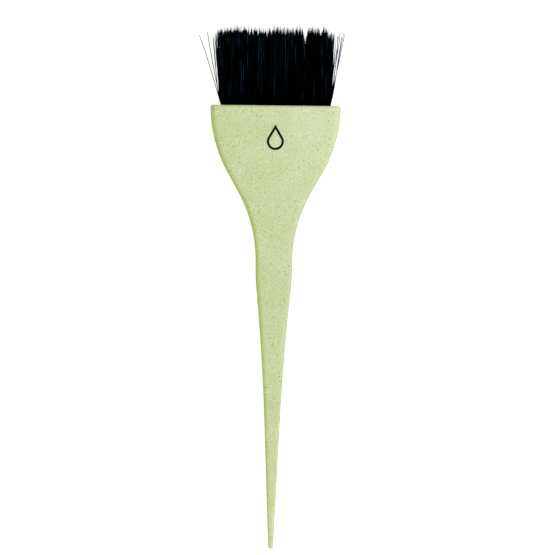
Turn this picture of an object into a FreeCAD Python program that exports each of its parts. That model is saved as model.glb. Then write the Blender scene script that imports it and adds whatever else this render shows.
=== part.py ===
import FreeCAD, Part

import math
import os
import re

import Sketcher

# A tint brush lying on its flat back, in millimetres: +X across the head, +Y from the tail to the
# bristles, +Z up, with the origin on the surface under the middle of the brush.
#
# The handle is a wedge. Its two broad faces are planes that open from the tip of the tail to the bristle
# end. The mid-plane between them is the XY plane of the handle's own frame, with Y = 0 at the end of the
# head, and lying on its back tilts that frame by half the wedge. The head has two rows of blind holes.
# Each holds a tuft of bristles, folded under a flat piece of wire, the anchor, that bites into the wall.

BELOW_AND_ABOVE = (-1, 1)

# each row's side of the mid-plane and its number of tufts: the back row is the one nearer the surface that
# the brush lies on, and its tufts stand between those of the front row
ROWS = {"back": (-1, 8), "front": (1, 9)}

SIZES = {
    # handle in plan: the ends of its arcs and lines are distances from the end of the head
    "head_width": 55.0,
    "handle_length": 187.2,
    "shoulder_radius": 58.0,
    "shoulder_end": 28.5,
    "flank_end": 36.5,
    "neck_radius": 60.0,
    "neck_end": 66.5,
    "grip_radius": 110.0,
    "grip_end": 78.5,
    "tail_radius": 940.0,
    "tip_radius": 1.05,
    # handle from the side, and its rounded edges
    "head_thickness": 10.5,
    "tip_thickness": 2.5,
    "head_edge_radius": 2.5,
    "tip_edge_radius": 0.9,
    "rim_radius": 1.1,
    # tuft holes
    "tuft_pitch": 5.29,
    "row_offset": 2.15,
    "hole_diameter": 4.2,
    "hole_depth": 8.0,
    "drill_angle": 118.0,
    # anchors, which are longer than the holes are wide
    "anchor_length": 4.6,
    "anchor_height": 2.0,
    "anchor_thickness": 0.35,
    "anchor_depth": 6.2,
    # tufts
    "tuft_diameter": 4.1,
    "tuft_root": 7.6,
    "bristle_length": 32.3,
    "flare_length": 10.0,
    "flare_width": 5.1,
    "flare_thickness": 4.1,
    "top_pitch": 5.5,
    "top_row_offset": 2.3,
    "top_width": 5.4,
    "top_thickness": 4.4,
    # printed mark
    "mark_radius": 3.6,
    "mark_stroke": 1.0,
    "mark_apex": 7.2,
    "mark_distance": 15.2,
    "mark_thickness": 0.05,
}

# an anchor as a box: along the row, down the hole and across the row
ANCHOR_SIZES = {"Length": "anchor_length", "Width": "anchor_height", "Height": "anchor_thickness"}

# how far the handle's blank stands beyond each face of the wedge, and how far the cuts reach past it
BLANK_MARGIN = 2.0
CUT_MARGIN = 3.0

# the longest distance between points that count as one, and the smallest volume that counts as cut
SAME_POINT = 1e-5
SMALLEST_CUT = 0.01

# the cosine of an angle wider than half the wedge
NEARLY_ONE = 0.999

# names for what a sketch's constraints are given as numbers
START, END, CENTRE = 1, 2, 3
ORIGIN = (-1, 1)
X_AXIS_LINE, Y_AXIS_LINE = -1, -2

doc = FreeCAD.newDocument("tint_brush")
sheet = doc.addObject("Spreadsheet::Sheet", "sizes")
for row_number, (alias, value) in enumerate(SIZES.items(), start=1):
    sheet.set(f"A{row_number}", alias)
    sheet.set(f"B{row_number}", str(value))
    sheet.setAlias(f"B{row_number}", alias)
doc.recompute()


# ------------------------------------------------------------------------------------ sheet and objects


def formula(text):
    """An expression in which each word that is an alias names its cell."""
    return re.sub(r"[a-z_]+", lambda word: f"<<sizes>>.{word[0]}" if word[0] in SIZES else word[0], text)


def size(text):
    """The value of an expression of the sheet, in millimetres or degrees."""
    return float(sheet.evalExpression(formula(text)))


def bind(thing, **expressions):
    """Bind properties to expressions of the sheet."""
    for name, text in expressions.items():
        thing.setExpression(name, formula(text))


def bind_position(thing, *texts):
    """Bind where a primitive stands in its sub-part's own frame."""
    for axis, text in zip("xyz", texts):
        thing.setExpression(f"Placement.Base.{axis}", formula(text))


def add(kind, name, **expressions):
    thing = doc.addObject(kind, name)
    thing.Label = name
    bind(thing, **expressions)
    return thing


def vector(x=0.0, y=0.0, z=0.0):
    return FreeCAD.Vector(x, y, z)


def about_x(degrees):
    return FreeCAD.Rotation(vector(1, 0, 0), degrees)


def volume(thing):
    doc.recompute()
    return thing.Shape.Volume


def check_cut(body, before):
    """A cut that points away from the solid takes nothing and reports nothing, so compare volumes."""
    if volume(body) > before - SMALLEST_CUT:
        raise RuntimeError(f"{body.Tip.Name} cuts nothing")


# --------------------------------------------------------------------------------------------- sketches


def origin_feature(body, role):
    return next(feature for feature in body.Origin.OriginFeatures if feature.Role == role)


def add_sketch(body, name, role):
    """A sketch on one of the body's own origin planes."""
    sketch = body.newObject("Sketcher::SketchObject", name)
    sketch.AttachmentSupport = [(origin_feature(body, role), "")]
    sketch.MapMode = "FlatFace"
    return sketch


def join(sketch, kind, *places):
    return sketch.addConstraint(Sketcher.Constraint(kind, *places))


def dimension(sketch, kind, *places_and_text):
    """A dimension between places of a sketch, bound to an expression of the sheet."""
    *places, text = places_and_text
    index = join(sketch, kind, *places, size(text))
    sketch.setExpression(f"Constraints[{index}]", formula(text))


def add_loop(sketch, corners):
    """A closed loop of lines."""
    following = corners[1:] + corners[:1]
    lines = [sketch.addGeometry(Part.LineSegment(*ends)) for ends in zip(corners, following)]
    for line, following_line in zip(lines, lines[1:] + lines[:1]):
        join(sketch, "Coincident", line, END, following_line, START)
    return lines


def draw_rectangle(sketch, centre_x, centre_y, width, height):
    """A rectangle about a centre, all four given as expressions of the sheet."""
    middle = vector(size(centre_x), size(centre_y))
    half = vector(size(width) / 2, size(height) / 2)
    signs = ((-1, -1), (1, -1), (1, 1), (-1, 1))
    lines = add_loop(sketch, [middle + vector(x * half.x, y * half.y) for x, y in signs])
    for line, kind in zip(lines, ("Horizontal", "Vertical") * 2):
        join(sketch, kind, line)
    bottom, right = lines[:2]
    dimension(sketch, "DistanceX", bottom, START, bottom, END, width)
    dimension(sketch, "DistanceY", right, START, right, END, height)
    dimension(sketch, "DistanceX", *ORIGIN, bottom, START, f"{centre_x} - {width} / 2")
    dimension(sketch, "DistanceY", *ORIGIN, bottom, START, f"{centre_y} - {height} / 2")


class HalfOutline:
    """A chain of tangent arcs and lines down the +X side of the handle, from the corner of the head.

    The heading is the angle, in radians, by which the side leans in towards the middle of the handle.
    """

    def __init__(self, sketch):
        self.sketch = sketch
        self.point = vector(size("head_width / 2"))
        self.heading = 0.0
        edge = sketch.addGeometry(Part.LineSegment(vector(), self.point))
        join(sketch, "Coincident", edge, START, *ORIGIN)
        join(sketch, "Horizontal", edge)
        dimension(sketch, "DistanceX", edge, START, edge, END, "head_width / 2")
        self.far_end = (edge, END)

    def outwards(self, heading):
        """The direction square to the side, away from the handle."""
        return vector(math.cos(heading), -math.sin(heading))

    def add(self, shape, near, far, kind="Tangent"):
        """Add the next piece and join its near end to the last piece's far end."""
        piece = self.sketch.addGeometry(shape)
        join(self.sketch, kind, *self.far_end, piece, near)
        self.far_end = (piece, far)
        return piece

    def end_at(self, station):
        """Fix how far the chain has come from the end of the head."""
        dimension(self.sketch, "DistanceY", *self.far_end, *ORIGIN, station)

    def arc(self, radius, heading, bulges, kind="Tangent"):
        """An arc to a new heading, along which the handle's side bulges or is hollow."""
        reach = size(radius) if bulges else -size(radius)
        centre = self.point - self.outwards(self.heading) * reach
        self.point = centre + self.outwards(heading) * reach
        circle = Part.Circle(centre, vector(0, 0, 1), size(radius))
        if bulges:
            piece = self.add(Part.ArcOfCircle(circle, -heading, -self.heading), END, START, kind)
        else:
            angles = (math.pi - self.heading, math.pi - heading)
            piece = self.add(Part.ArcOfCircle(circle, *angles), START, END, kind)
        dimension(self.sketch, "Radius", piece, radius)
        self.heading = heading
        return piece

    def arc_to(self, station, radius, bulges, kind="Tangent"):
        """An arc that ends at a given distance from the end of the head."""
        turn = (size(station) + self.point.y) / size(radius)
        heading = math.asin(math.sin(self.heading) + (turn if bulges else -turn))
        piece = self.arc(radius, heading, bulges, kind)
        self.end_at(station)
        return piece

    def line(self, end, kind="Tangent"):
        piece = self.add(Part.LineSegment(self.point, end), START, END, kind)
        self.point = end
        return piece

    def line_to(self, station):
        """A straight stretch that ends at a given distance from the end of the head."""
        drop = size(station) + self.point.y
        self.line(self.point + vector(-drop * math.tan(self.heading), -drop))
        self.end_at(station)


def draw_half_outline(sketch):
    """One half of the handle in plan: shoulder, flank, neck, grip, tail and rounded tip."""
    side = HalfOutline(sketch)
    shoulder = side.arc_to("shoulder_end", "shoulder_radius", bulges=True, kind="Coincident")
    join(sketch, "PointOnObject", shoulder, CENTRE, X_AXIS_LINE)
    side.line_to("flank_end")
    side.arc_to("neck_end", "neck_radius", bulges=False)
    side.arc_to("grip_end", "grip_radius", bulges=True)

    # the tail is hollow at first, then straight along the common tangent of its arc and the tip's circle
    tail_centre = side.point + side.outwards(side.heading) * size("tail_radius")
    tip_centre = vector(0, size("tip_radius - handle_length"))
    between = tail_centre - tip_centre
    taper = math.acos(size("tail_radius + tip_radius") / between.Length) - math.atan2(between.y, between.x)
    side.arc("tail_radius", taper, bulges=False)
    side.line(tip_centre + side.outwards(taper) * size("tip_radius"))
    tip = side.arc("tip_radius", math.pi / 2, bulges=True)
    join(sketch, "PointOnObject", tip, CENTRE, Y_AXIS_LINE)
    side.end_at("handle_length")

    middle = side.line(vector(), kind="Coincident")
    join(sketch, "Coincident", middle, END, *ORIGIN)
    join(sketch, "Vertical", middle)


def draw_wedge_cuts(sketch):
    """What the blank loses above and below the handle's broad faces, seen from the side."""
    slope = "(head_thickness - tip_thickness) / 2 / handle_length"
    low = f"tip_thickness / 2 - {slope} * {CUT_MARGIN}"
    high = f"head_thickness / 2 + {slope} * {CUT_MARGIN}"
    outer = f"head_thickness / 2 + {CUT_MARGIN}"
    far = f"handle_length + {CUT_MARGIN}"
    for side in BELOW_AND_ABOVE:
        corners = [
            vector(-size(far), side * size(low)),
            vector(CUT_MARGIN, side * size(high)),
            vector(CUT_MARGIN, side * size(outer)),
            vector(-size(far), side * size(outer)),
        ]
        face, near_edge, outer_edge, far_edge = add_loop(sketch, corners)
        join(sketch, "Vertical", near_edge)
        join(sketch, "Horizontal", outer_edge)
        join(sketch, "Vertical", far_edge)
        dimension(sketch, "DistanceX", face, START, *ORIGIN, far)
        dimension(sketch, "DistanceX", *ORIGIN, face, END, f"{CUT_MARGIN}")
        for place, height in (((face, START), low), ((face, END), high), ((outer_edge, START), outer)):
            places = (*ORIGIN, *place) if side > 0 else (*place, *ORIGIN)
            dimension(sketch, "DistanceY", *places, height)


def draw_hole(sketch, column, side):
    """A tuft hole, in a column that is left of the middle."""
    centre = vector(column * size("tuft_pitch"), side * size("row_offset"))
    circle = sketch.addGeometry(Part.Circle(centre, vector(0, 0, 1), size("hole_diameter / 2")))
    dimension(sketch, "Diameter", circle, "hole_diameter")
    dimension(sketch, "DistanceX", circle, CENTRE, *ORIGIN, f"{-column} * tuft_pitch")
    places = (*ORIGIN, circle, CENTRE) if side > 0 else (circle, CENTRE, *ORIGIN)
    dimension(sketch, "DistanceY", *places, "row_offset")


def draw_drop(sketch, radius, apex):
    """A circle about the sketch's origin, with its two tangents from a point above it."""
    lean = math.asin(size(radius) / size(apex))
    touch = vector(math.cos(lean), math.sin(lean)) * size(radius)
    circle = Part.Circle(vector(), vector(0, 0, 1), size(radius))
    arc = sketch.addGeometry(Part.ArcOfCircle(circle, math.pi - lean, math.tau + lean))
    right = sketch.addGeometry(Part.LineSegment(touch, vector(0, size(apex))))
    left = sketch.addGeometry(Part.LineSegment(vector(0, size(apex)), vector(-touch.x, touch.y)))
    join(sketch, "Coincident", arc, CENTRE, *ORIGIN)
    join(sketch, "Tangent", arc, END, right, START)
    join(sketch, "Coincident", right, END, left, START)
    join(sketch, "Tangent", left, END, arc, START)
    join(sketch, "PointOnObject", right, END, Y_AXIS_LINE)
    dimension(sketch, "Radius", arc, radius)
    dimension(sketch, "DistanceY", *ORIGIN, right, END, apex)


# ----------------------------------------------------------------------------------------------- handle


def first_column(tufts):
    """The place of a row's first tuft, in pitches from the middle of the row."""
    return (1 - tufts) / 2


def drill_row(body, row):
    """Drill the holes of a row of tufts, and cut the grooves that its anchors stand in."""
    side, tufts = ROWS[row]
    column = first_column(tufts)

    before = volume(body)
    hole_circle = add_sketch(body, f"{row}_hole_circle", "XZ_Plane")
    draw_hole(hole_circle, column, side)
    doc.recompute()
    hole = body.newObject("PartDesign::Hole", f"{row}_hole")
    hole.Profile = hole_circle
    doc.recompute()
    hole.Reversed = True
    hole.DepthType = "Dimension"
    hole.DrillPoint = "Angled"
    bind(hole, Diameter="hole_diameter", Depth="hole_depth", DrillPointAngle="drill_angle")
    check_cut(body, before)

    before = volume(body)
    groove_end = add_sketch(body, f"{row}_groove_end", "XZ_Plane")
    centre = (f"{column} * tuft_pitch", f"{side} * row_offset")
    draw_rectangle(groove_end, *centre, "anchor_length", "anchor_thickness")
    groove = body.newObject("PartDesign::Pocket", f"{row}_groove")
    groove.Profile = groove_end
    groove.Reversed = True
    bind(groove, Length="anchor_depth")
    check_cut(body, before)

    before = volume(body)
    pattern = body.newObject("PartDesign::LinearPattern", f"{row}_row")
    pattern.Originals = [hole, groove]
    pattern.Direction = (origin_feature(body, "X_Axis"), [""])
    pattern.Occurrences = tufts
    bind(pattern, Length=f"{tufts - 1} * tuft_pitch")
    body.Tip = pattern
    check_cut(body, before)


def make_wedge():
    """The body of the handle with its sharp edges, its tuft holes and the grooves that the anchors cut."""
    body = add("PartDesign::Body", "wedge")
    outline = add_sketch(body, "outline", "XY_Plane")
    draw_half_outline(outline)
    half_blank = body.newObject("PartDesign::Pad", "half_blank")
    half_blank.Profile = outline
    half_blank.Midplane = True
    bind(half_blank, Length=f"head_thickness + 2 * {BLANK_MARGIN}")
    blank = body.newObject("PartDesign::Mirrored", "blank")
    blank.Originals = [half_blank]
    blank.MirrorPlane = (origin_feature(body, "YZ_Plane"), [""])
    body.Tip = blank

    before = volume(body)
    side_view = add_sketch(body, "side_view", "YZ_Plane")
    draw_wedge_cuts(side_view)
    faces = body.newObject("PartDesign::Pocket", "broad_faces")
    faces.Profile = side_view
    faces.Midplane = True
    bind(faces, Length="head_width * 2")
    check_cut(body, before)

    for row in ROWS:
        drill_row(body, row)
    return body


def flat_faces(shape, axis):
    """The shape's flat faces that look along an axis, either way, from the smallest to the largest."""
    planes = [face for face in shape.Faces if isinstance(face.Surface, Part.Plane)]
    along = [face for face in planes if abs(face.normalAt(0, 0).dot(axis)) > NEARLY_ONE]
    return sorted(along, key=lambda face: face.Area)


def numbered(shape, wanted):
    """The wanted edges, each with the number that the shape gives it."""
    pairs = enumerate(shape.Edges, start=1)
    return [(number, edge) for number, edge in pairs if any(edge.isSame(other) for other in wanted)]


def edge_radius(point):
    """The radius of the long edges, which shrinks evenly from the head to the tip of the tail."""
    share = -point.y / size("handle_length")
    return size("head_edge_radius") + share * size("tip_edge_radius - head_edge_radius")


def on_end_of_head(edge):
    return all(abs(vertex.Y) < SAME_POINT for vertex in edge.Vertexes)


def long_edge_radii(shape, face):
    """The number of each long edge of a broad face, with its radii at both of its ends.

    The edges make one chain, down one side, round the tip and back up. A fillet takes the two radii in
    the sense in which the first edge of the chain runs, whichever way the others run.
    """
    left = numbered(shape, [edge for edge in face.OuterWire.Edges if not on_end_of_head(edge)])
    here = max((vertex.Point for _, edge in left for vertex in edge.Vertexes), key=lambda point: point.y)
    entries = []
    first_runs_along = None
    while left:
        entry = next(pair for pair in left if pair[1].distToShape(Part.Vertex(here))[0] < SAME_POINT)
        left.remove(entry)
        number, edge = entry
        start, end = edge.firstVertex().Point, edge.lastVertex().Point
        runs_along = start.isEqual(here, SAME_POINT)
        if first_runs_along is None:
            first_runs_along = runs_along
        following = end if runs_along else start
        radii = (edge_radius(here), edge_radius(following))
        entries.append((number, *(radii if first_runs_along else reversed(radii))))
        here = following
    return entries


def make_handle():
    """The wedge with its long edges rounded, and then the rim of the end that holds the bristles."""
    wedge = make_wedge()
    long_edges = add("Part::Fillet", "rounded_long_edges")
    long_edges.Base = wedge
    faces = flat_faces(wedge.Shape, vector(0, 0, 1))[-2:]
    long_edges.Edges = [entry for face in faces for entry in long_edge_radii(wedge.Shape, face)]
    doc.recompute()

    handle = add("Part::Fillet", "handle")
    handle.Base = long_edges
    end_of_head = flat_faces(long_edges.Shape, vector(0, 1, 0))[-1]
    rim = numbered(long_edges.Shape, end_of_head.OuterWire.Edges)
    handle.Edges = [(number, size("rim_radius"), size("rim_radius")) for number, _ in rim]
    place(handle, vector())
    return handle


# ---------------------------------------------------------------------------- where the sub-parts stand


def tilt():
    """Half the angle of the wedge, in degrees."""
    return math.degrees(math.atan(size("(head_thickness - tip_thickness) / 2 / handle_length")))


def handle_frame():
    """Where the handle's own frame stands when the handle's back face lies on the surface."""
    shortening = math.cos(math.radians(tilt()))
    forward = size("(handle_length - bristle_length) / 2") * shortening
    lift = size("head_thickness / 2") * shortening
    return FreeCAD.Placement(vector(0, forward, lift), about_x(tilt()))


def place(thing, position, more_tilt=0.0):
    """Put a sub-part at a point of the handle's own frame."""
    thing.Placement = handle_frame() * FreeCAD.Placement(position, about_x(more_tilt))


def hole_mouth(column, side):
    """The middle of a hole's mouth. Columns are counted in pitches from the middle of the row."""
    return vector(column * size("tuft_pitch"), 0, side * size("row_offset"))


# ------------------------------------------------------------------- tufts, anchors and the printed mark


def add_section(name, width, thickness, *position):
    """An ellipse across a tuft."""
    section = add("Part::Ellipse", name, MajorRadius=f"{width} / 2", MinorRadius=f"{thickness} / 2")
    section.Placement = FreeCAD.Placement(vector(), about_x(90))
    bind_position(section, *position)
    return section


def make_tuft(name, column, side):
    """A bundle of bristles: a round root that fills its hole, then a flare that leans out.

    The root is slotted for the anchor that it is folded under.
    """
    root = add("Part::Cylinder", f"{name}_root", Radius="tuft_diameter / 2", Height="tuft_root")
    root.Placement = FreeCAD.Placement(vector(), about_x(90))

    lean_x = f"{column} * (top_pitch - tuft_pitch)"
    lean_z = f"{side} * (top_row_offset - row_offset)"
    flare = "flare_length / bristle_length"
    bundle = add("Part::Loft", f"{name}_bundle")
    bundle.Sections = [
        add_section(f"{name}_mouth", "tuft_diameter", "tuft_diameter"),
        add_section(
            f"{name}_flare",
            "flare_width",
            "flare_thickness",
            f"{lean_x} * {flare}",
            "flare_length",
            f"{lean_z} * {flare}",
        ),
        add_section(f"{name}_top", "top_width", "top_thickness", lean_x, "bristle_length", lean_z),
    ]
    bundle.Solid = True
    bundle.Ruled = True
    whole = add("Part::Fuse", f"{name}_whole")
    whole.Base = root
    whole.Tool = bundle

    slot = add("Part::Box", f"{name}_slot", **ANCHOR_SIZES)
    bind_position(slot, "-anchor_length / 2", "-anchor_depth", "-anchor_thickness / 2")
    tuft = add("Part::Cut", name)
    tuft.Base = whole
    tuft.Tool = slot
    place(tuft, hole_mouth(column, side))
    return tuft


def make_anchor(name, column, side):
    """A flat piece of wire that stands in the two grooves it cut into the wall of its hole."""
    anchor = add("Part::Box", name, **ANCHOR_SIZES)
    corner = vector(size("-anchor_length / 2"), size("-anchor_depth"), size("-anchor_thickness / 2"))
    place(anchor, hole_mouth(column, side) + corner)
    return anchor


def make_mark(name):
    """The outline of a drop, printed on the front of the head with its point towards the bristles."""
    body = add("PartDesign::Body", name)
    drop = add_sketch(body, "drop", "XY_Plane")
    draw_drop(drop, "mark_radius", "mark_apex")
    draw_drop(drop, "(mark_radius - mark_stroke)", "(mark_radius - mark_stroke) * mark_apex / mark_radius")
    ink = body.newObject("PartDesign::Pad", "ink")
    ink.Profile = drop
    bind(ink, Length="mark_thickness")
    sinking = size("mark_distance") * math.tan(math.radians(tilt()))
    place(body, vector(0, -size("mark_distance"), size("head_thickness / 2") - sinking), tilt())
    return body


# ------------------------------------------------------------------------------------------- the brush


def check_and_export(sub_parts):
    """Write one file per sub-part, once every object has been made and every shape is one sound solid."""
    doc.recompute()
    failed = [thing.Name for thing in doc.Objects if {"Invalid", "Error"} & set(thing.State)]
    if failed:
        raise RuntimeError(f"not made: {failed}")
    for sub_part in sub_parts:
        shape = sub_part.Shape
        if shape.isNull() or not shape.isValid() or len(shape.Solids) != 1:
            raise RuntimeError(f"{sub_part.Label} isn't one sound solid")
    os.makedirs("parts", exist_ok=True)
    for sub_part in sub_parts:
        sub_part.Shape.exportStep(f"parts/{sub_part.Label}.step")


def main():
    sub_parts = [make_handle(), make_mark("printed_mark")]
    for row, (side, tufts) in ROWS.items():
        for number in range(1, tufts + 1):
            column = first_column(tufts) + number - 1
            sub_parts.append(make_tuft(f"tuft_{row}_{number}", column, side))
            sub_parts.append(make_anchor(f"anchor_{row}_{number}", column, side))
    check_and_export(sub_parts)


main()
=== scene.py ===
import math

import bpy
import numpy as np
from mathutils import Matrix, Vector


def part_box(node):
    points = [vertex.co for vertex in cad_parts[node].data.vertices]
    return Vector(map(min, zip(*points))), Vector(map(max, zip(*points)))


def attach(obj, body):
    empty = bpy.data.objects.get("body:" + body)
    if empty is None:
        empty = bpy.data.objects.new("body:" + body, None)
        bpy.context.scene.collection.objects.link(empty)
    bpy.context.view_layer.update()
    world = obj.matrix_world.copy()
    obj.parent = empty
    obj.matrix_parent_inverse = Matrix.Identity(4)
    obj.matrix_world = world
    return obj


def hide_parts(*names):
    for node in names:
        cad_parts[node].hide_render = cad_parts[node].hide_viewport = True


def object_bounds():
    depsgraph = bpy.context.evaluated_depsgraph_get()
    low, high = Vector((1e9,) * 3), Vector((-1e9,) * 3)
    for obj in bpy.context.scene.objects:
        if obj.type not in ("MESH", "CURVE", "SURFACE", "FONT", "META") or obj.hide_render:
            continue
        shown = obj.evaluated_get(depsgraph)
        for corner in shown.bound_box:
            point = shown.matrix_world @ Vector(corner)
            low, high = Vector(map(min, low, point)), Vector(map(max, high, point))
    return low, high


# A tint brush lying on its back on a white table, seen from straight above. Lengths are in metres.

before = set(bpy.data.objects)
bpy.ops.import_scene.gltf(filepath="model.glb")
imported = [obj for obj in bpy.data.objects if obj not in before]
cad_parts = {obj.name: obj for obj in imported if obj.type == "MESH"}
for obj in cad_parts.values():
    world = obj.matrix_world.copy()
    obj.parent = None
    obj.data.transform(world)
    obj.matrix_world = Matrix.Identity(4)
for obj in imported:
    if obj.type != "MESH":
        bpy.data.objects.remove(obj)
cad_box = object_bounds()

MM = 0.001

# ------------------------------------------------------------------------------------ camera, floor and light

# the width of the camera's view at the height of the brush's top, and where its middle is
VIEW_WIDTH = 233.6 * MM
VIEW_CENTRE = (1.57 * MM, 4.9 * MM)
VIEW_TURN = math.radians(0.662)
CAMERA_HEIGHT = 2.4
FLOOR_SIZE = 8.0
BACKDROP_RADIUS = 0.49 * FLOOR_SIZE
FLOOR_GAP = 0.02 * MM
TABLE_GLOW = 0.85

# the soft boxes: name, place, target, width, power and colour. A large one overhead and a key light from the
# right do most of the work. Two near ones brighten the head and the tail, and two low ones fill the sides.
LIGHTS = (
    ("overhead", (0, 0, 3.0), (0, 0, 0), 2.8, 29.0, (1.0, 0.97, 1.18)),
    ("key", (0.56, -0.15, 0.65), (0, 0, 0), 0.45, 0.6, (1.0, 0.96, 0.6)),
    ("head_key", (0.11, 0.13, 0.16), (0, 0.065, 0), 0.08, 0.145, (1.07, 1.0, 1.75)),
    ("tail_key", (0.09, -0.15, 0.14), (0, -0.10, 0), 0.08, 0.085, (1.08, 1.0, 1.6)),
    ("right_fill", (0.4, 0, 0.06), (0, 0, 0), 0.25, 0.17, (1.0, 0.85, 3.2)),
    ("left_fill", (-0.4, 0, 0.06), (0, 0, 0), 0.25, 0.17, (0.75, 1.15, 0.15)),
)
WORLD_COLOUR = (0.92, 1.02, 0.40)
WORLD_STRENGTH = 0.37


def make_camera():
    data = bpy.data.cameras.new("camera")
    data.sensor_width = 36.0
    distance = CAMERA_HEIGHT - cad_box[1].z
    data.lens = data.sensor_width * distance / VIEW_WIDTH
    data.clip_start, data.clip_end = 0.01, 20.0
    camera = bpy.data.objects.new("camera", data)
    camera.location = (*VIEW_CENTRE, CAMERA_HEIGHT)
    camera.rotation_euler = (0, 0, VIEW_TURN)
    bpy.context.scene.collection.objects.link(camera)
    bpy.context.scene.camera = camera


def make_area_light(name, place, target, width, power, colour):
    """A square soft box that looks from a place at a target."""
    data = bpy.data.lights.new(name, "AREA")
    data.shape = "SQUARE"
    data.size = width
    data.energy = power
    data.color = colour
    light = bpy.data.objects.new(name, data)
    light.location = place
    light.rotation_mode = "QUATERNION"
    light.rotation_quaternion = (Vector(place) - Vector(target)).to_track_quat("Z", "Y")
    bpy.context.scene.collection.objects.link(light)


def make_world(colour, strength):
    world = bpy.data.worlds.new("world")
    world.use_nodes = True
    background = world.node_tree.nodes["Background"]
    background.inputs["Color"].default_value = (*colour, 1)
    background.inputs["Strength"].default_value = strength
    bpy.context.scene.world = world


# ---------------------------------------------------------------------------------------------- material kit


class Surface:
    """A material whose one Principled shader is fed by nodes."""

    def __init__(self, name, **values):
        self.material = bpy.data.materials.new(name)
        self.material.use_nodes = True
        self.tree = self.material.node_tree
        self.shader = self.tree.nodes["Principled BSDF"]
        for socket, value in values.items():
            self.shader.inputs[socket.replace("_", " ")].default_value = value

    def node(self, kind, settings=None, **inputs):
        """A node, with its settings, and its inputs by name: a value, or the socket that feeds it."""
        made = self.tree.nodes.new(kind)
        for key, value in (settings or {}).items():
            setattr(made, key, value)
        for key, value in inputs.items():
            key = key.replace("_", " ")
            socket = made.inputs[int(key[1:]) if key[0] == "i" and key[1:].isdigit() else key]
            if isinstance(value, bpy.types.NodeSocket):
                self.tree.links.new(value, socket)
            else:
                socket.default_value = value
        return made

    def feed(self, socket, source):
        self.tree.links.new(source, self.shader.inputs[socket])

    def place(self, scale):
        """Coordinates on the brush, in units of a length in millimetres along each axis."""
        where = self.node("ShaderNodeTexCoord").outputs["Object"]
        shrink = tuple(1 / (MM * step) for step in scale)
        return self.node("ShaderNodeMapping", Vector=where, Scale=shrink).outputs["Vector"]

    def noise(self, scale, detail=2.0, roughness=0.5):
        return self.node(
            "ShaderNodeTexNoise", Vector=self.place(scale), Scale=1.0, Detail=detail, Roughness=roughness
        ).outputs["Fac"]

    def between(self, value, low, high, to_low=0.0, to_high=1.0):
        """A value stretched from one span to another, and held inside it."""
        return self.node(
            "ShaderNodeMapRange",
            Value=value,
            From_Min=low,
            From_Max=high,
            To_Min=to_low,
            To_Max=to_high,
        ).outputs["Result"]

    def math(self, operation, first, second):
        return self.node("ShaderNodeMath", {"operation": operation}, i0=first, i1=second).outputs[0]

    def mix(self, factor, first, second):
        """Two colours mixed."""
        node = self.node("ShaderNodeMix", {"data_type": "RGBA"})
        for index, value in ((0, factor), (6, first), (7, second)):
            socket = node.inputs[index]
            if isinstance(value, bpy.types.NodeSocket):
                self.tree.links.new(value, socket)
            else:
                socket.default_value = value
        return node.outputs[2]

    def bump(self, height, strength, distance):
        made = self.node("ShaderNodeBump", Height=height, Strength=strength, Distance=distance)
        self.feed("Normal", made.outputs["Normal"])


def rgb(red, green, blue):
    """A colour given as on a screen, from 0 to 255, as the linear colour that a shader takes."""

    def linear(level):
        level /= 255
        return level / 12.92 if level <= 0.04045 else ((level + 0.055) / 1.055) ** 2.4

    return (linear(red), linear(green), linear(blue), 1.0)


# -------------------------------------------------------------------------------------------------- materials

# fibre specks, in millimetres: the cell that holds one, the share of cells that do, its radius and soft
# edge, and its colour
SPECKS = (
    (0.9, 0.45, 0.33, 0.12, (158, 184, 76)),
    (1.7, 0.5, 0.38, 0.15, (146, 174, 58)),
    (4.0, 0.6, 0.44, 0.15, (134, 162, 46)),
)


def make_handle_material():
    """Pale green plastic filled with ground plant fibre: mottled, finely speckled and satin."""
    surface = Surface("handle_plastic", Specular_IOR_Level=0.5, Subsurface_Weight=0.15)
    surface.shader.inputs["Subsurface Radius"].default_value = (1.0, 0.85, 0.2)
    surface.shader.inputs["Subsurface Scale"].default_value = 1.5 * MM

    clouds = surface.between(surface.noise((9, 9, 9), detail=3), 0.35, 0.65)
    colour = surface.mix(clouds, rgb(208, 217, 170), rgb(216, 224, 184))
    grain = surface.between(surface.noise((0.6, 0.6, 0.6), detail=3, roughness=0.7), 0.3, 0.6)
    colour = surface.mix(grain, rgb(181, 199, 114), colour)
    for cell, share, radius, edge, tone in SPECKS:
        dots = surface.node("ShaderNodeTexVoronoi", Vector=surface.place((cell, cell, cell)), Scale=1.0)
        lot = surface.node("ShaderNodeSeparateColor", Color=dots.outputs["Color"])
        radius = surface.between(lot.outputs[1], 0.0, 1.0, radius * 0.6 / cell, radius / cell)
        inside = surface.math("SUBTRACT", radius, dots.outputs["Distance"])
        chosen = surface.math("LESS_THAN", lot.outputs[0], share)
        speck = surface.math("MULTIPLY", surface.between(inside, 0.0, edge / cell, 0.0, 0.85), chosen)
        colour = surface.mix(speck, colour, rgb(*tone))
    surface.feed("Base Color", colour)

    rough = surface.between(surface.noise((2.5, 2.5, 2.5), detail=3), 0.3, 0.7, 0.42, 0.56)
    surface.feed("Roughness", rough)
    surface.bump(surface.noise((0.35, 0.35, 0.35), detail=3), 0.2, 0.02 * MM)
    return surface.material


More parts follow.
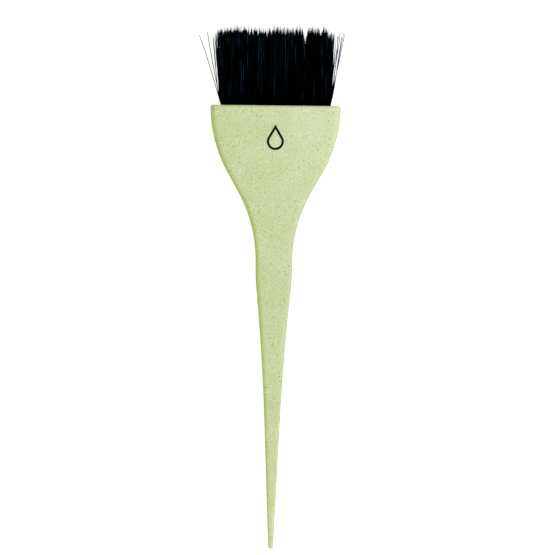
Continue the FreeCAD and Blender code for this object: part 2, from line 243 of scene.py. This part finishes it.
def make_bristle_material():
    """Black nylon with a painted sheen: blue-grey streaks in the base colour stand in for glints of light,
    stronger on some filaments than others and coming and going along each one.
    """
    surface = Surface("bristle_nylon", Roughness=0.4, Specular_IOR_Level=0.006)
    painted_sheen_level = surface.node("ShaderNodeAttribute", {"attribute_name": "painted_sheen_level"}).outputs["Fac"]
    # each filament's level of painted sheen, set in the mesh
    glossy = surface.between(painted_sheen_level, 0.75, 0.97)
    strand = surface.node("ShaderNodeAttribute", {"attribute_name": "strand"}).outputs["Vector"]
    sheen = surface.node("ShaderNodeTexNoise", Vector=strand, Scale=1.0, Detail=1.0).outputs["Fac"]
    painted_sheen_streaks = surface.math("MULTIPLY", glossy, surface.between(sheen, 0.45, 0.6))
    # painted sheen: the blue-grey mixed into the black base colour stands in for glints of light along the
    # filaments
    surface.feed("Base Color", surface.mix(painted_sheen_streaks, rgb(0, 0, 0), rgb(39, 76, 102)))
    return surface.material


def make_wire_material():
    """Brass wire, drawn lengthwise."""
    surface = Surface("anchor_brass", Metallic=1.0)
    drawn = surface.noise((3.0, 0.08, 0.08), detail=3)
    surface.feed("Base Color", surface.mix(drawn, rgb(176, 141, 76), rgb(214, 184, 118)))
    surface.feed("Roughness", surface.between(drawn, 0.3, 0.7, 0.28, 0.45))
    surface.bump(drawn, 0.3, 0.01 * MM)
    return surface.material


def make_ink_material():
    """Matt black ink, thin enough to break up a little over the grain of the plastic."""
    surface = Surface("printed_ink", Specular_IOR_Level=0.1)
    patches = surface.between(surface.noise((0.5, 0.5, 0.5), detail=4), 0.3, 0.7)
    surface.feed("Base Color", surface.mix(patches, rgb(0, 0, 0), rgb(5, 5, 4)))
    surface.feed("Roughness", surface.between(patches, 0, 1, 0.5, 0.65))
    surface.bump(patches, 0.2, 0.01 * MM)
    return surface.material


# ---------------------------------------------------------------------------------------------------- tufts

# where the anchors are in the holes, and their size
ANCHOR_TO_MOUTH = 5.2 * MM
ANCHOR_HALF_HEIGHT = 1.0 * MM
ANCHOR_HALF_THICKNESS = 0.175 * MM

# how far the bristles stand out of the holes, and how far they fan out at their tips: along the row, as a
# share of the hole's distance from the middle, and across it
BRISTLE_LENGTH = 31.95 * MM
FAN_X = 0.1 / 5.29
FAN_Z = 0.15 * MM

# the most filaments that a tuft holds, each folded in half, and the number of sides that each has
FILAMENT_RADIUS = 0.09 * MM
FILAMENTS = 165
SIDES = 5

# the share of its radius that a filament keeps at its last rings
TIP_TAPER = (0.96, 0.84, 0.62, 0.36, 0.12)

# the length along a filament over which its painted sheen changes, and the step in the painted sheen's noise
# from one filament to the next
SHEEN_LENGTH = 14 * MM
SHEEN_STEP = 2.7

# heights over the hole's mouth of a filament's rings, and half the tuft's width and thickness there
HEIGHTS = np.array([-4.0, 0.0, 1.6, 4.0, 8.0, 13.0, 18.5, 24.0, 27.5, 29.6, 31.2, 32.3]) * MM
WIDTH_AT = (np.array([-8.0, 0.0, 3.0, 8.0, 32.3]) * MM, np.array([1.92, 1.96, 2.45, 2.6, 2.68]) * MM)
THICKNESS_AT = (np.array([-8.0, 0.0, 10.0, 32.3]) * MM, np.array([1.92, 1.96, 2.02, 2.15]) * MM)

# how much the tuft's round outline fills out at its corners, once it is out of the hole
CORNERS = 0.3

# how the bristles of the first and last tufts lean at their tips, in millimetres: the outer ones outwards,
# by a usual length and by the most, and all of them towards +X. Last, how soon the outer ones start to lean.
LOOSE_EDGE = {
    "tuft_front_1": (1.0, 1.4, -0.6, 0.5),
    "tuft_back_1": (0.8, 1.4, -0.4, 0.5),
    "tuft_front_9": (0.9, 3.0, -0.8, 0.9),
    "tuft_back_8": (0.8, 3.0, -0.7, 0.9),
}

# the share of a first or last tuft's outer bristles that are loose
LOOSE_SHARE = 0.8

# single bristles that stand out from the sides: how far out the tip is, its height and how late it bends
STRAY_RADIUS = 0.15 * MM
STRAYS = {
    "tuft_front_1": ((8.6, -2.4, 1.4), (5.5, -0.8, 1.35), (1.8, -3.5, 0.7)),
    "tuft_front_9": (
        (6.2, -1.6, 1.4),
        (5.3, -1.0, 1.3),
        (4.5, -2.5, 1.1),
        (3.8, -0.5, 1.7),
        (3.1, -2.0, 0.8),
    ),
}

# places where the tips part: x, half the gap and how deep it goes. The push fades away over PARTING_REACH.
PARTINGS = np.array([(12.15, 1.1, 8.4), (18.6, 0.34, 3.4), (-12.3, 0.25, 2.2)]) * MM
PARTING_REACH = 1.6 * MM

# how far a bristle's tip drifts from its place, the share of wild ones and how many times further they go
DRIFT = 0.4 * MM
WILD_SHARE = 0.06
WILD_TIMES = 2.6

# the slow waves along a bristle: the least and the most of their pitch, and of their swing
WAVE_PITCH = (12 * MM, 28 * MM)
WAVE_SWING = (0.02 * MM, 0.14 * MM)

# the clumps in a tuft, and how much the bristles of a clump close up towards their tips
CLUMPS = 12
GATHER = 0.55

# the share of bristles that are longer than the rest, and the most by which one is
LONGER_SHARE = 0.12
LONGEST_EXTRA = 2.9 * MM

GOLDEN_ANGLE = math.pi * (3 - math.sqrt(5))


def make_tip_line():
    """The uneven line that the tips follow along the brush: its points and notches, as x and height."""
    random = np.random.default_rng(7)
    count = 90
    x = np.cumsum(random.uniform(0.4, 1.05, count))
    point = random.normal(0.15, 0.4, count)
    notch = random.normal(-1.6, 0.8, count)
    height = np.where(np.arange(count) % 2, point, notch)
    return (x - x.mean()) * MM, height * MM


TIP_LINE = make_tip_line()


def node_middle(node):
    low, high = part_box(node)
    return np.array((low + high) / 2)


def tuft_axes():
    """The directions out of the holes and from the back row to the front row."""
    across = node_middle("anchor_front_5") - node_middle("anchor_back_4")
    up = Vector((0, across[1], across[2])).normalized()
    out = up.cross(Vector((1, 0, 0)))
    return np.array(out), np.array(up)


OUT, UP = tuft_axes()
SIDEWAYS = np.array((1.0, 0.0, 0.0))


def ring_positions(random, ends, node, mouth):
    """Centres of the rings of a tuft's bristles: along the row, out of the hole and across, from the mouth.

    ends holds each bristle's place in the hole, in a disc of radius 1.
    """
    count = len(ends)
    side = 1 if "front" in node else -1
    outward = math.copysign(1, mouth[0])

    # clumps of bristles that close up towards their tips
    angle = GOLDEN_ANGLE * np.arange(CLUMPS) + random.uniform(0, math.tau)
    reach = np.sqrt((np.arange(CLUMPS) + 0.5) / CLUMPS)
    centres = np.stack([reach * np.cos(angle), reach * np.sin(angle)], 1)
    centres += random.normal(0, 0.1, centres.shape)
    nearest = np.argmin(((ends[:, None] - centres[None]) ** 2).sum(2), 1)

    # how far each bristle strays sideways and across the row at its tip, and how late it bends
    drift = random.normal(0, DRIFT, (2, count))
    drift[:, random.random(count) < WILD_SHARE] *= WILD_TIMES
    bend = random.uniform(1.1, 2.4, (2, count))
    lean = 0.0
    if node in LOOSE_EDGE:
        usual, most, lean, soonest = LOOSE_EDGE[node]
        outer = np.clip(ends[:, 0] * outward - 0.3, 0, None) * (random.random(count) < LOOSE_SHARE)
        drift[0] += outward * outer * np.minimum(random.exponential(usual, count), most) * 2 * MM
        bend[0] = np.where(outer > 0, random.uniform(soonest, 1.5, count), bend[0])

    tips = ends * (1 - GATHER) + centres[nearest] * GATHER
    tip_x = mouth[0] * (1 + FAN_X) + tips[:, 0] * WIDTH_AT[1][-1] + drift[0]
    length = BRISTLE_LENGTH + np.interp(tip_x, *TIP_LINE) - random.exponential(0.4, count) * MM
    longer = random.random(count) < LONGER_SHARE
    length += longer * random.uniform(0.5, 3.2, count) * MM
    length = np.minimum(length, BRISTLE_LENGTH + LONGEST_EXTRA)

    # single bristles, from the half of the tuft above the anchor
    if node in STRAYS and ends[0, 1] > 0:
        strays = STRAYS[node]
        chosen = np.argsort(-ends[:, 0] * outward)[: len(strays)]
        for bristle, (reach_out, shorter, late) in zip(chosen, strays):
            drift[:, bristle] = (outward * reach_out * MM, 0)
            bend[0, bristle] = late
            length[bristle] = BRISTLE_LENGTH + shorter * MM

    # the bristle's place across the tuft as it grows: clumps gather, the outline fills out
    share = HEIGHTS / HEIGHTS[-1]
    heights = np.where(HEIGHTS > 0, share * length[:, None], HEIGHTS)
    grown = np.clip(heights / BRISTLE_LENGTH, 0, None)

    gather = GATHER * np.clip((grown - 0.6) / 0.4, 0, 1) ** 1.5
    place = ends[:, None] * (1 - gather[..., None]) + centres[nearest][:, None] * gather[..., None]
    corner = 1 + CORNERS * np.clip(grown * 3, 0, 1) * np.abs(2 * place[..., 0] * place[..., 1])
    x = corner * place[..., 0] * np.interp(heights, *WIDTH_AT)
    z = corner * place[..., 1] * np.interp(heights, *THICKNESS_AT)

    x += drift[0][:, None] * grown ** bend[0][:, None]
    z += 0.5 * drift[1][:, None] * grown ** bend[1][:, None]

    # slow waves along each bristle, and the fan of the whole tuft
    wave = random.uniform(0, math.tau, (2, count, 1))
    pitch = random.uniform(*WAVE_PITCH, (2, count, 1))
    swing = random.uniform(*WAVE_SWING, (2, count, 1))
    ripple = swing * np.sin(math.tau * heights / pitch + wave) * np.clip(grown * 3, 0, 1)
    x += ripple[0] + mouth[0] * FAN_X * grown + lean * MM * grown**0.6
    z += 0.5 * ripple[1] + side * FAN_Z * grown

    for centre, half_gap, depth in PARTINGS:
        opening = half_gap * np.clip((heights - (BRISTLE_LENGTH - depth)) / depth, 0, 1.3)
        away = x + mouth[0] - centre
        x += np.sign(away[:, -1:]) * opening * np.exp(-np.abs(away) / PARTING_REACH)
    return np.stack([x, heights, z], 2)


def folded(tips_a, tips_b):
    """Rings from one tip down into the hole, under the anchor and up to the other tip."""
    under = -(ANCHOR_TO_MOUTH + ANCHOR_HALF_HEIGHT)
    clear = ANCHOR_HALF_THICKNESS + FILAMENT_RADIUS * 1.1
    beside = []
    for rings, sign in ((tips_a, 1), (tips_b, -1)):
        x, z = rings[:, 0, 0], clear + 0.85 * np.abs(rings[:, 0, 2])
        beside.append(np.stack([x, np.full_like(x, under), sign * z], 1))

    # the wider a filament straddles the anchor, the lower it hangs under it
    spread = (beside[0][:, 2] - beside[1][:, 2]) / 2
    bottom = (beside[0] + beside[1]) / 2
    bottom[:, 1] = under - FILAMENT_RADIUS - 0.62 * spread
    parts = [tips_a[:, ::-1], beside[0][:, None], bottom[:, None], beside[1][:, None], tips_b]
    return np.concatenate(parts, 1)


def tube_mesh(name, rings, radii, painted_sheen_levels, strands):
    """One mesh of many tubes: rings is bristle by ring by xyz.

    the painted sheen's level and its place in the noise are what the material reads at each ring.
    """
    count, steps = radii.shape
    along = np.gradient(rings, axis=1)
    along /= np.linalg.norm(along, axis=2, keepdims=True)
    first = np.cross(SIDEWAYS, along)
    first /= np.linalg.norm(first, axis=2, keepdims=True)
    second = np.cross(along, first)
    turn = np.arange(SIDES) * math.tau / SIDES
    circle = np.cos(turn)[:, None] * first[:, :, None] + np.sin(turn)[:, None] * second[:, :, None]
    points = rings[:, :, None] + radii[:, :, None, None] * circle

    index = np.arange(count * steps * SIDES).reshape(count, steps, SIDES)
    step_on = np.roll(index, -1, axis=2)
    quads = np.stack([index[:, :-1], step_on[:, :-1], step_on[:, 1:], index[:, 1:]], -1).reshape(-1, 4)
    ends = np.concatenate([index[:, 0, ::-1], index[:, -1]])

    mesh = bpy.data.meshes.new(name)
    mesh.from_pydata(points.reshape(-1, 3).tolist(), [], quads.tolist() + ends.tolist())
    mesh.polygons.foreach_set("use_smooth", [True] * len(mesh.polygons))
    # each ring's level of painted sheen, which the bristle material reads
    painted_sheen_level = mesh.attributes.new("painted_sheen_level", "FLOAT", "POINT")
    painted_sheen_level.data.foreach_set("value", np.repeat(painted_sheen_levels, SIDES).astype(np.float32))
    strand = mesh.attributes.new("strand", "FLOAT_VECTOR", "POINT")
    strand.data.foreach_set("vector", np.repeat(strands, SIDES, axis=1).ravel().astype(np.float32))
    return mesh


def make_tuft(node, seed, material):
    random = np.random.default_rng(seed)
    mouth = node_middle(node.replace("tuft", "anchor")) + ANCHOR_TO_MOUTH * OUT

    # places in the hole, spread evenly over a disc with a little disorder, as many above the anchor as below
    number = np.arange(2 * FILAMENTS)
    angle = GOLDEN_ANGLE * number + random.uniform(0, math.tau)
    reach = np.sqrt((number + 0.5) / len(number))
    ends = np.stack([reach * np.cos(angle), reach * np.sin(angle)], 1)
    ends += random.normal(0, 0.018, ends.shape)
    above = ends[ends[:, 1] > 0]
    below = ends[ends[:, 1] <= 0]
    pairs = min(len(above), len(below))
    above = above[np.argsort(above[:pairs, 0])]
    below = below[np.argsort(below[:pairs, 0])]

    tips = [ring_positions(random, half, node, mouth) for half in (above, below)]
    rings = folded(*tips)

    steps = len(HEIGHTS)
    taper = np.ones(steps)
    taper[-len(TIP_TAPER) :] = TIP_TAPER
    radii = np.concatenate([taper[::-1], np.ones(3), taper]) * FILAMENT_RADIUS
    radii = np.repeat(radii[None], pairs, 0) * random.uniform(0.8, 1.1, (pairs, 1))
    if node in STRAYS:
        outward = math.copysign(1, mouth[0])
        strays = np.argsort(-above[:, 0] * outward)[: len(STRAYS[node])]
        radii[strays, :steps] = STRAY_RADIUS
        radii[strays, 0] *= 0.5
    heights = np.concatenate([HEIGHTS[::-1], np.zeros(3), HEIGHTS])
    # each filament's level of painted sheen, scaled down towards the roots: painted shade where the bristles
    # meet the head
    painted_sheen_levels = random.random((pairs, 1)) * np.interp(heights, (0, 4 * MM, 32 * MM), (0.65, 0.87, 1.0))

    # a place in the painted sheen's noise: a line of its own for each filament, then the height, with the
    # filament's two halves on either side of zero
    strands = np.zeros(rings.shape)
    strands[..., 0] = SHEEN_STEP * np.arange(pairs)[:, None]
    strands[..., 1] = np.concatenate([-HEIGHTS[::-1], np.zeros(3), HEIGHTS]) / SHEEN_LENGTH

    world = mouth + rings[..., :1] * SIDEWAYS + rings[..., 1:2] * OUT + rings[..., 2:] * UP
    mesh = tube_mesh(node.replace("tuft", "bristles"), world, radii, painted_sheen_levels, strands)
    mesh.materials.append(material)
    piece = bpy.data.objects.new(mesh.name, mesh)
    bpy.context.scene.collection.objects.link(piece)
    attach(piece, "root")
    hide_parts(node)
    return piece


# ---------------------------------------------------------------------------------------------------- scene


def make_plane(name, size, height, material):
    half = size / 2
    corners = [(-half, -half, height), (half, -half, height), (half, half, height), (-half, half, height)]
    mesh = bpy.data.meshes.new(name)
    mesh.from_pydata(corners, [], [(0, 1, 2, 3)])
    mesh.materials.append(material)
    plane = bpy.data.objects.new(name, mesh)
    bpy.context.scene.collection.objects.link(plane)
    return plane


def show_to_camera_only(piece):
    for ray in ("diffuse", "glossy", "transmission", "shadow"):
        setattr(piece, f"visible_{ray}", False)


def make_floor():
    """The table and the backdrop.

    The camera sees a white table lit from below and a white backdrop. The brush sees another table top, which
    is tinted so that the light it sends back gives the brush's sides their green.
    """
    lit = Surface("lit_table", Roughness=0.9, Specular_IOR_Level=0.0)
    lit.shader.inputs["Emission Color"].default_value = (1, 1, 1, 1)
    lit.shader.inputs["Emission Strength"].default_value = TABLE_GLOW
    spots = lit.noise((60, 60, 60), detail=2)
    lit.feed("Base Color", lit.mix(spots, (0.44, 0.44, 0.44, 1), (0.46, 0.46, 0.46, 1)))
    table = make_plane("table", FLOOR_SIZE, -FLOOR_GAP, lit.material)
    show_to_camera_only(table)

    matt = Surface("matt_table", Roughness=0.9, Specular_IOR_Level=0.0)
    spots = matt.noise((60, 60, 60), detail=2)
    matt.feed("Base Color", matt.mix(spots, (0.75, 0.82, 0.34, 1), (0.77, 0.84, 0.36, 1)))
    bounce = make_plane("table_bounce", FLOOR_SIZE, -2 * FLOOR_GAP, matt.material)
    bounce.visible_camera = False

    glow = Surface("backdrop", Roughness=0.9, Specular_IOR_Level=0.0)
    glow.shader.inputs["Base Color"].default_value = (0, 0, 0, 1)
    glow.shader.inputs["Emission Color"].default_value = (1, 1, 1, 1)
    glow.shader.inputs["Emission Strength"].default_value = 1.0
    bpy.ops.mesh.primitive_uv_sphere_add(radius=BACKDROP_RADIUS, segments=64, ring_count=32)
    backdrop = bpy.context.object
    backdrop.name = "backdrop"
    backdrop.data.materials.append(glow.material)
    show_to_camera_only(backdrop)


def assign(node, material):
    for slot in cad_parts[node].material_slots:
        slot.material = material


make_camera()
make_floor()
make_world(WORLD_COLOUR, WORLD_STRENGTH)
for light in LIGHTS:
    make_area_light(*light)

bpy.context.scene.view_settings.view_transform = "Standard"

nodes = sorted(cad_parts)
assign("handle", make_handle_material())
assign("printed_mark", make_ink_material())
wire = make_wire_material()
nylon = make_bristle_material()
for node in nodes:
    if node.startswith("anchor_"):
        assign(node, wire)
for seed, node in enumerate(node for node in nodes if node.startswith("tuft_")):
    make_tuft(node, seed, nylon)
